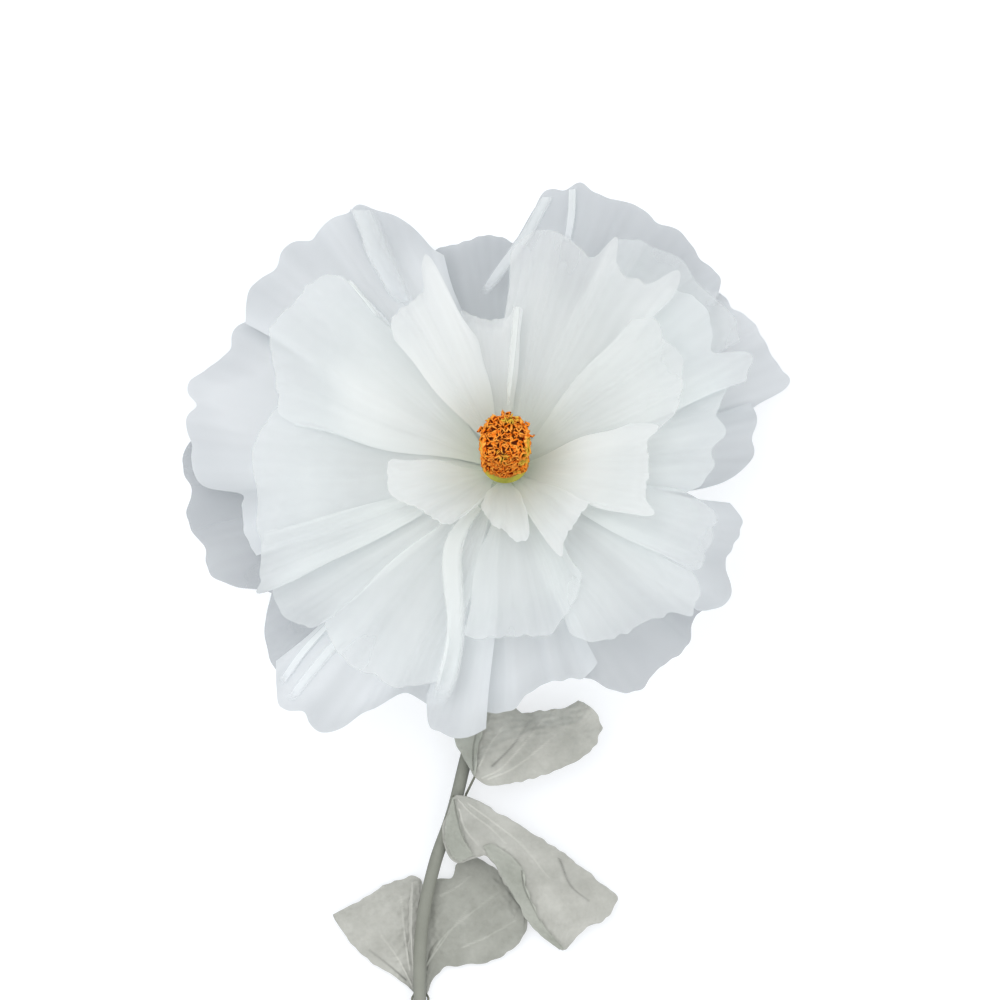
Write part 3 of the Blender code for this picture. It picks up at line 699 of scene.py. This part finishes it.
def on_side(u, v):
    """A point of the mass's side and the way out of it: u runs round and v up the axis."""
    turn = u / BODY_RADIUS
    out = Vector((math.cos(turn), math.sin(turn), 0))
    shoulder = max(0.0, (v - BODY_HIGH + 0.006) / 0.006)
    waist = 0.0010 * math.cos(4 * turn - 3.1) + 0.0006 * math.sin(7 * turn)
    narrower = 0.0035 * max(0.0, 1 - (v - BODY_LOW) / 0.010)
    radius = BODY_RADIUS + waist - narrower - 0.001 * min(1.0, shoulder) ** 2
    return out * radius + Vector((0, 0, v)), (out + Vector((0, 0, 0.5 * shoulder))).normalized()


def on_top(u, v):
    """A point of the mass's domed top and the way out of it."""
    away = math.hypot(u, v)
    height = BODY_HIGH + 0.0035 * (1 - (away / BODY_RADIUS) ** 2)
    return Vector((u, v, height)), Vector((u * 22, v * 22, 1)).normalized()


def add_ruffle(verts, faces, maps, surface, u, v, dice):
    """One ruffle: a strip that winds over the surface, with its root in it and its lip leaning out."""
    heading = dice.uniform(0, math.tau)
    length, pitch = dice.uniform(0.008, 0.015), dice.uniform(0.0055, 0.0090)
    sway, height = dice.uniform(0.0014, 0.0026), dice.uniform(0.0024, 0.0046)
    lean, phase = dice.uniform(-0.4, 0.4), dice.uniform(0, math.tau)
    first = len(verts)
    for step in range(RUFFLE_STEPS + 1):
        along = (step / RUFFLE_STEPS - 0.5) * length
        aside = sway * math.sin(math.tau * along / pitch + phase)
        x = u + along * math.cos(heading) - aside * math.sin(heading)
        y = v + along * math.sin(heading) + aside * math.cos(heading)
        root, out = surface(x, y)
        side = Vector((-math.sin(heading), math.cos(heading), 0)).cross(out)
        ends = min(1.0, 6 * min(step, RUFFLE_STEPS - step) / RUFFLE_STEPS + 0.25)
        tall = height * ends * (0.85 + 0.15 * math.sin(phase + 9 * along / pitch))
        turned = heading + math.cos(math.tau * along / pitch + phase)
        across = (side * 0.6 + Vector((math.cos(turned), math.sin(turned), 0))).normalized()
        for share, thick in RUFFLE_ROWS:
            middle = root + out * (tall * share - ROOT_DEPTH) + side * (lean * tall * share * share)
            verts += [middle - across * thick, middle + across * thick]
            maps += [share, share]
    last = first + RUFFLE_STEPS * len(ROUND_SECTION)
    for a in range(first, last, len(ROUND_SECTION)):
        b = a + len(ROUND_SECTION)
        for i, j in zip(ROUND_SECTION, ROUND_SECTION[1:] + ROUND_SECTION[:1]):
            faces.append((a + i, a + j, b + j, b + i))
    faces.append(tuple(first + i for i in reversed(ROUND_SECTION)))
    faces.append(tuple(last + i for i in ROUND_SECTION))


def add_frill(name, surface, places, seed):
    """One frill: a ruffle at each of these places of a surface, all in one mesh."""
    dice = random.Random(seed)
    verts, faces, maps = [], [], []
    for u, v in places:
        add_ruffle(verts, faces, maps, surface, u, v, dice)
    mesh = bpy.data.meshes.new(name + "_ruffles")
    mesh.from_pydata(verts, [], faces)
    mesh.transform(Matrix.Translation(HUB_TOP) @ TURN_ALL)
    mesh.shade_smooth()
    heights = mesh.uv_layers.new(name="UVMap")
    for loop in mesh.loops:
        heights.data[loop.index].uv = (0.5, maps[loop.vertex_index])
    frill = add_object(name + "_ruffles", mesh)
    paint(frill, FRILL_TISSUE)
    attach(frill, "root")
    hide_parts(name)
    print(name, "triangles:", sum(len(p.vertices) - 2 for p in mesh.polygons))


def ring_of_places(low, high, pitch, seed):
    """Places over the side, in a staggered pattern with some wander."""
    dice = random.Random(seed)
    places = []
    round_it = int(math.tau * BODY_RADIUS / pitch)
    rows = max(1, round((high - low) / pitch))
    for row in range(rows + 1):
        for step in range(round_it):
            u = (step + 0.5 * (row % 2) + dice.uniform(-0.3, 0.3)) / round_it * math.tau * BODY_RADIUS
            places.append((u, low + (high - low) * row / rows + dice.uniform(-0.001, 0.001)))
    return places


def disc_of_places(inner, outer, pitch, seed):
    """Places over the top, in rings with some wander."""
    dice = random.Random(seed)
    places = []
    radius = inner
    while radius <= outer:
        count = max(1, int(math.tau * radius / pitch))
        for step in range(count):
            turn = (step + dice.uniform(-0.3, 0.3)) / count * math.tau
            places.append((radius * math.cos(turn), radius * math.sin(turn)))
        radius += pitch
    return places


add_frill("stamen_frill_01", on_top, disc_of_places(0.0010, 0.0095, 0.0040, 1), 11)
add_frill("stamen_frill_02", on_top, disc_of_places(0.0130, 0.0174, 0.0042, 2), 12)
add_frill("stamen_frill_03", on_side, ring_of_places(0.0380, BODY_HIGH, 0.0048, 3), 13)
add_frill("stamen_frill_04", on_side, ring_of_places(BODY_LOW, 0.0325, 0.0048, 4), 14)

# %% [markdown]
# Under the ruffles stands the pod that carries them. Only its yellow-green foot shows, as a shallow cup
# below the orange. It is a turned shape: a profile is drawn beside the axis and spun round it.


# %% Pod
def add_turned(name, profile, material):
    """A turned piece on the head's axis. The profile gives radius and height above the top of the hub."""
    bpy.ops.mesh.primitive_plane_add(size=1, location=(0, 0, 0))
    piece = bpy.context.object
    piece.name = piece.data.name = name
    bpy.ops.object.mode_set(mode="EDIT")
    bpy.ops.mesh.delete(type="VERT")
    bpy.ops.object.mode_set(mode="OBJECT")
    piece.data.from_pydata([(r, 0, h) for r, h in profile], [(i, i + 1) for i in range(len(profile) - 1)], [])
    bpy.ops.object.mode_set(mode="EDIT")
    bpy.ops.mesh.select_all(action="SELECT")
    bpy.ops.mesh.spin(steps=72, angle=math.tau, center=(0, 0, 0), axis=(0, 0, 1))
    bpy.ops.mesh.select_all(action="SELECT")
    bpy.ops.mesh.remove_doubles(threshold=0.00001)
    bpy.ops.mesh.normals_make_consistent(inside=False)
    bpy.ops.object.mode_set(mode="OBJECT")
    piece.data.transform(Matrix.Translation(HUB_TOP) @ TURN_ALL)
    bpy.ops.object.shade_smooth()
    paint(piece, material)
    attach(piece, "root")
    return piece


POD_PROFILE = [
    (0, 0.0570), (0.0120, 0.0565), (0.0165, 0.0540), (0.0176, 0.0480), (0.0172, 0.0120), (0.0165, 0.0080),
    (0.0192, 0.0068), (0.0196, 0.0060), (0.0188, 0.0045), (0.0150, 0.0020), (0.0120, 0.0004), (0, 0.0004),
]
pod = add_turned("pod_body", POD_PROFILE, POD_TISSUE)
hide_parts("seed_pod")
paint(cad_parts["hub"], green_finish("hub_tissue", (0.62, 0.66, 0.50), (0.5, 0.55, 0.4)))
print("pod faces:", len(pod.data.polygons))

# %% [markdown]
# The stem is a long tube, wrapped in a narrow strip of grey-green tape. It follows the same line as its
# solid, so the line is repeated here. The tape shows as slanting ridges a few millimetres apart.


# %% Stem
def tape_finish(name, colour, dark, pitch):
    """Tape wound round and round: slanting ridges at this pitch along the stem. At scale 1 the wave texture's
    waves are WAVE_AT_ONE long."""
    finish = Finish(name)
    x, y, z = finish.place()
    crinkle = finish.noise((x * 4, y, z * 4), 420, 3)
    bands = {"wave_type": "BANDS", "bands_direction": "Y", "wave_profile": "SAW"}
    slanting = finish.point(x, y + x * 0.5, z)
    slant = finish.add("ShaderNodeTexWave", bands, Vector=slanting, Scale=WAVE_AT_ONE / pitch, Distortion=1.2,
                       Detail=2.0)
    blotch = finish.noise((x, y, z), 30, 3)
    tone = (blotch.ramp(0.3, 0.7) * 0.6 + crinkle * 0.4).clamped()
    finish.set(Base_Color=finish.mix(tone, dark, colour), Roughness=0.6)
    finish.bump(slant * 0.6 + crinkle * 0.4, 0.5, 0.0006)
    return finish.material


WAVE_AT_ONE = 0.314
STEM_TAPE = tape_finish("stem_tape", (0.30, 0.31, 0.27), (0.22, 0.23, 0.195), 0.011)
WIRE_TAPE = tape_finish("wire_tape", (0.24, 0.25, 0.20), (0.15, 0.155, 0.12), 0.006)
HUB_LENGTH = 0.048
STEM_LENGTH = 0.680
STEM_RADIUS = 0.00525
STEM_ROUTE = [
    (-0.0765, -1.0000, 0.0053), (-0.0882, -0.8824, 0.0070), (-0.0985, -0.7647, 0.0095),
    (-0.1032, -0.6485, 0.0125), (-0.1007, -0.5735, 0.0140), (-0.0857, -0.4971, 0.0160),
    (-0.0635, -0.4324, 0.0180), (-0.0499, -0.3779, 0.0200), (-0.0294, -0.2941, 0.0215),
    (-0.0118, -0.1912, 0.0225), (-0.0029, -0.1176, 0.0235),
]


def add_stem():
    """The stem: a curve along the route, up behind the head and into the hub's socket, made a mesh."""
    foot = HUB_TOP - AXIS * HUB_LENGTH
    below = foot - AXIS * 0.007
    corner = Vector((HEAD_X, below.y - 0.011, below.z - 0.015))
    route = [Vector((HEAD_X + x * STEM_LENGTH, HEAD_Y + y * STEM_LENGTH, z)) for x, y, z in STEM_ROUTE]
    route += [corner, below, foot + AXIS * 0.002, foot + AXIS * 0.0137]
    line = bpy.data.curves.new("stem_line", "CURVE")
    line.dimensions = "3D"
    line.bevel_depth = STEM_RADIUS
    line.bevel_resolution = 8
    line.resolution_u = 12
    line.use_fill_caps = True
    spline = line.splines.new("BEZIER")
    spline.bezier_points.add(len(route) - 1)
    for knot, point in zip(spline.bezier_points, route):
        knot.co = point
        knot.handle_left_type = knot.handle_right_type = "AUTO"
    stem = add_object("stem_tube", line)
    bpy.ops.object.select_all(action="DESELECT")
    stem.select_set(True)
    bpy.context.view_layer.objects.active = stem
    bpy.ops.object.convert(target="MESH")
    stem = bpy.context.object
    bpy.ops.object.mode_set(mode="EDIT")
    bpy.ops.mesh.select_all(action="SELECT")
    bpy.ops.mesh.remove_doubles(threshold=0.00001)
    bpy.ops.object.mode_set(mode="OBJECT")
    bpy.ops.object.shade_smooth_by_angle(angle=math.radians(40))
    paint(stem, STEM_TAPE)
    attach(stem, "root")
    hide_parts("stem")
    return stem


stem = add_stem()
for name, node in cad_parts.items():
    if name.startswith("leaf_wire"):
        paint(node, WIRE_TAPE)
print("stem faces:", len(stem.data.polygons))

# %% [markdown]
# The leaves are a coarser, crinkled tissue, with veins and creases. Veins could be painted from an image.
# Here they are lines, and how near a point is to one is kept on the sheet as an attribute: above 0 it is a
# pale raised vein, and below 0 a sunk crease, darkened with painted shade.


# %% Tissue of the leaves
def leaf_tissue(name, dark, pale, cover):
    """Blotched tissue between two colours, which hides this share of what is behind it."""
    finish = Finish(name)
    x, y, z = finish.place()
    vein = finish.add("ShaderNodeAttribute", {"attribute_name": "vein"}, output=2)
    cells = finish.noise((x, y, z * 0.3), 300, 4, 0.6)
    broad = finish.noise((x, y, z), 38, 4)
    bent = finish.point(x + (broad - 0.5) * 0.03, y + (cells - 0.5) * 0.006, z * 0.3)
    creased = finish.add("ShaderNodeTexVoronoi", {"feature": "DISTANCE_TO_EDGE"}, Vector=bent, Scale=48)
    # Partly painted shade: besides the random blotches, the tone is a little darker along the crumple lines
    tone = (broad.ramp(0.3, 0.7) * 0.6 + cells.ramp(0.3, 0.7) * 0.25 + creased.ramp(0, 0.35) * 0.15).clamped()
    paler = tuple(channel * 1.25 + 0.06 for channel in pale)
    # Painted shade: the creases are darkened to less than half the leaf's dark colour
    painted_crease_shade = tuple(channel * 0.45 for channel in dark)
    sheet = finish.mix((vein * -1).clamped() * 0.6, finish.mix(tone, dark, pale), painted_crease_shade)
    hides = (cover + (broad - 0.5) * 0.3 + vein * 0.2).clamped()
    colour = finish.mix(vein.clamped() * 0.20, sheet, paler)
    finish.set(Base_Color=colour, Roughness=0.7, Specular_IOR_Level=0.1, Alpha=hides)
    finish.bump(cells * 0.25 + creased.ramp(0, 0.5) * 0.8, 0.7, 0.0016)
    return finish.material


GREY_TISSUE = leaf_tissue("leaf_tissue_grey", (0.45, 0.455, 0.415), (0.63, 0.635, 0.59), 0.86)
PALE_TISSUE = leaf_tissue("leaf_tissue_pale", (0.46, 0.465, 0.425), (0.62, 0.625, 0.585), 0.80)
DARK_TISSUE = leaf_tissue("leaf_tissue_dark", (0.36, 0.37, 0.33), (0.49, 0.50, 0.46), 0.84)
GREEN_TISSUE = leaf_tissue("leaf_tissue_green", (0.41, 0.43, 0.38), (0.54, 0.56, 0.51), 0.70)


def nearness(x, y, line, width):
    """1 on the line and 0 at this distance from it, fading along the line from its start."""
    line_x, line_y = along_line(line, np.linspace(0, 1, LINE_PARTS + 1))
    best = np.zeros_like(x)
    for i in range(LINE_PARTS):
        ax, ay, bx, by = line_x[i], line_y[i], line_x[i + 1], line_y[i + 1]
        span = (bx - ax) ** 2 + (by - ay) ** 2
        share = np.clip(((x - ax) * (bx - ax) + (y - ay) * (by - ay)) / span, 0, 1)
        away = np.hypot(x - ax - share * (bx - ax), y - ay - share * (by - ay))
        thin = 1 - 0.6 * (i + share) / LINE_PARTS
        best = np.maximum(best, smooth(1 - away / width) * thin)
    return best


LINE_PARTS = 24
print("leaf tissues ready")

# %% [markdown]
# Each leaf is drawn by its two edges, from its foot to its tip, in pixels of the view, and its veins and
# creases in the same pixels. It lies on its solid: rays from above find the solid's height, and the
# crinkles are added to it. Where a leaf is folded over itself, the folded part is a second sheet on the
# first.

# %% Leaves
LEAF_COLUMNS, LEAF_ROWS = 70, 100
VEIN_WIDTH, CREASE_WIDTH = 0.0012, 0.0014
VEIN_HEIGHT = 0.0006

# Each sheet of a leaf: its node, its tissue, its lift off the solid, its edges from foot to tip, its pale
# veins and its creases, which are darkened with painted shade
LEAVES = [
    ("leaf_01", GREY_TISSUE, 0.0006,
     [(474, 778), (468, 768), (461, 754), (455, 740), (463, 733), (474, 724), (484, 709), (497, 704),
      (508, 704),
      (520, 715), (535, 713), (551, 711), (566, 709), (574, 705), (579, 702)],
     [(475, 779), (478, 782), (486, 787), (508, 786), (533, 781), (565, 769), (587, 756), (599, 742),
      (602, 727),
      (596, 713), (584, 704)],
     [[(482, 780), (497, 773), (520, 750), (541, 724)], [(488, 781), (510, 772), (535, 754), (556, 736)],
      [(479, 768), (489, 748), (503, 728)]],
     [[(480, 783), (502, 776), (528, 752), (548, 726)], [(484, 783), (515, 780), (548, 766)],
      [(479, 764), (488, 740), (492, 724)], [(485, 776), (505, 756), (512, 740)],
      [(492, 768), (512, 748), (530, 722)]]),
    ("leaf_01", GREEN_TISSUE, 0.0032,
     [(473, 777), (466, 764), (458, 750), (454, 738), (462, 726), (470, 706)],
     [(475, 778), (477, 762), (479, 745), (484, 727), (488, 713), (487, 703)],
     [[(475, 776), (477, 758), (480, 743), (486, 716)]],
     [[(473, 772), (473, 752), (477, 730), (481, 712)]]),
    ("leaf_02", PALE_TISSUE, 0.0006,
     [(452, 800), (447, 816), (442, 831), (444, 848), (451, 861), (458, 867), (467, 862), (479, 858),
      (491, 863),
      (501, 882), (518, 903), (529, 925), (542, 940), (556, 951), (563, 955)],
     [(457, 797), (464, 798), (482, 805), (503, 818), (525, 831), (546, 845), (565, 857), (583, 871),
      (602, 887),
      (618, 903), (616, 908), (605, 925), (590, 930), (578, 941), (567, 954)],
     [[(458, 802), (470, 815), (492, 832), (505, 846)], [(468, 806), (495, 826), (520, 846), (548, 880)],
      [(459, 812), (464, 830), (478, 848)]],
     [[(455, 804), (462, 822), (470, 838), (480, 850)], [(482, 812), (520, 842), (560, 872), (598, 900)],
      [(492, 838), (503, 850), (512, 862)], [(535, 885), (555, 905), (566, 925)], [(530, 868), (560, 890)],
      [(560, 862), (572, 890), (590, 905)]]),
    ("leaf_02", GREEN_TISSUE, 0.0030,
     [(452, 800), (448, 818), (444, 832), (446, 848), (453, 860), (460, 865)],
     [(455, 799), (457, 814), (460, 828), (465, 842), (470, 852), (473, 858)],
     [],
     [[(454, 802), (457, 820), (463, 840), (470, 852)]]),
    ("leaf_02", GREEN_TISSUE, 0.0032,
     [(483, 849), (491, 863), (502, 880), (515, 901), (529, 926), (543, 941), (560, 954)],
     [(492, 846), (511, 858), (524, 876), (526, 889), (534, 908), (544, 928), (564, 953)],
     [[(524, 878), (527, 892), (535, 910), (546, 932)]],
     [[(486, 850), (500, 868), (512, 888), (524, 908)], [(522, 874), (524, 890), (532, 908), (541, 926)]]),
    ("leaf_03", PALE_TISSUE, 0.0006,
     [(417, 997), (415, 970), (418, 930), (420, 885), (415, 880), (400, 884), (384, 889), (362, 903),
      (340, 914),
      (331, 919)],
     [(413, 998), (405, 990), (395, 982), (373, 969), (356, 954), (342, 938), (333, 924)],
     [[(411, 990), (398, 965), (380, 940)], [(409, 975), (404, 940), (400, 900)]],
     [[(412, 992), (403, 974), (398, 968), (387, 955)], [(405, 985), (385, 968), (368, 955)]]),
    ("leaf_03", PALE_TISSUE, 0.0014,
     [(414, 990), (408, 960), (408, 925), (410, 886)],
     [(417, 992), (416, 960), (417, 925), (419, 884)],
     [[(414, 985), (411, 950), (411, 920), (412, 887)]],
     []),
    ("leaf_04", DARK_TISSUE, 0.0006,
     [(422, 998), (424, 960), (425, 925), (431, 885), (440, 882), (450, 882), (456, 868), (475, 862),
      (495, 872),
      (512, 890), (524, 908)],
     [(427, 998), (432, 985), (444, 973), (457, 970), (486, 968), (507, 959), (520, 946), (527, 932),
      (528, 920)],
     [[(426, 970), (440, 945), (470, 918), (500, 895)], [(428, 966), (448, 938), (466, 915)],
      [(462, 952), (490, 940), (515, 925)], [(440, 900), (458, 890), (470, 880)]],
     [[(427, 958), (443, 936), (460, 922), (492, 908), (512, 897)], [(426, 985), (436, 972), (450, 966)],
      [(426, 975), (430, 955), (437, 945)]]),
]


def add_leaf_sheet(count, node, tissue, lift, left, right, veins, creases):
    """One crinkled sheet of a leaf, laid on the leaf's solid."""
    name = f"{node}_sheet_{count + 1}"
    leaf, across, along, x, y = sheet_between(name, left, right, LEAF_COLUMNS, LEAF_ROWS)
    edge = np.minimum(1, 5 * np.minimum(across, 1 - across))
    wander = 0.0010 * (1 - edge) * smooth(5 * along * (1 - along))
    aside, ahead = (wander * ripples(x, y, count + i, 20, 120, 6) for i in (0, 1))
    x, y = x + aside, y + ahead
    vein = np.zeros_like(x)
    for line in veins:
        vein = np.maximum(vein, nearness(x, y, line, VEIN_WIDTH))
    for line in creases:
        vein = np.where(vein > 0.1, vein, -nearness(x, y, line, CREASE_WIDTH))
    crinkle = 0.0005 * ripples(x, y, count + 60, 70, 240, 12) + 0.0012 * ripples(x, y, count + 61, 16, 45, 7)
    z = surface_heights(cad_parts[node], x, y) + lift + VEIN_HEIGHT * vein
    z = z + np.maximum(-0.0007, crinkle * (0.4 + 0.6 * edge))
    finish_sheet(leaf, (x, y, z), "vein", vein, tissue, "leaf_paper")
    return leaf


for count, (node, *sheet) in enumerate(LEAVES):
    leaf = add_leaf_sheet(count, node, *sheet)
    first_of_leaf = node != LEAVES[count - 1][0]
    if first_of_leaf:
        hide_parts(node)
print("sheets of the leaves:", len(LEAVES))

# %% [markdown]
# A large floor carries the flower. The camera sees it white, as the photograph's background is, because
# its own light is added where the camera looks at it directly. Rays that reach it through the tissue see
# it plain and darker, so that a single layer of tissue looks darker than the white around it.


# %% Floor
def add_floor():
    """A flat floor just under the flower, bright only to the camera's direct look."""
    bpy.ops.mesh.primitive_plane_add(size=FLOOR_SIZE, location=(0, 0, FLOOR_HEIGHT))
    floor = bpy.context.object
    floor.name = "floor"
    finish = Finish("floor_paper")
    finish.set(Base_Color=(0.43, 0.455, 0.485), Roughness=0.9, Specular_IOR_Level=0.0)
    rays = finish.tree.nodes.new("ShaderNodeLightPath")
    seen = Value(finish.tree, rays.outputs["Is Camera Ray"])
    deep = Value(finish.tree, rays.outputs["Transparent Depth"])
    direct = seen * (1 - deep.clamped())
    finish.set(Emission_Color=(1.0, 1.0, 1.0))
    finish.put(finish.shader.inputs["Emission Strength"], direct * FLOOR_GLOW)
    finish.material.cycles.emission_sampling = "NONE"
    paint(floor, finish.material)


FLOOR_SIZE = 12
FLOOR_HEIGHT = -0.0005
FLOOR_GLOW = 0.62
add_floor()
print("floor ready")

# %% [markdown]
# The photograph has soft, even daylight with hardly a shadow. A white world gives most of it, and two large
# lamps, a stronger one at the upper left and a weaker one at the lower right, give the folds a little shade.


# %% Light
def soft_lamp(name, place, aim, size, power):
    """A round lamp of this size and power at a place, turned to its aim."""
    data = bpy.data.lights.new(name, "AREA")
    data.shape = "DISK"
    data.size = size
    data.energy = power
    lamp = add_object(name, data)
    lamp.location = place
    lamp.rotation_euler = (Vector(aim) - Vector(place)).to_track_quat("-Z", "Y").to_euler()


world = bpy.data.worlds.new("studio")
world.use_nodes = True
world.node_tree.nodes["Background"].inputs["Color"].default_value = (1, 1, 1, 1)
world.node_tree.nodes["Background"].inputs["Strength"].default_value = 0.90
bpy.context.scene.world = world
soft_lamp("key", (-0.9, 0.9, 2.4), (0, 0.2, 0), 2.0, 19)
soft_lamp("fill", (1.4, -0.4, 2.2), (0, 0.1, 0), 2.0, 8)
bpy.context.scene.view_settings.view_transform = "Standard"
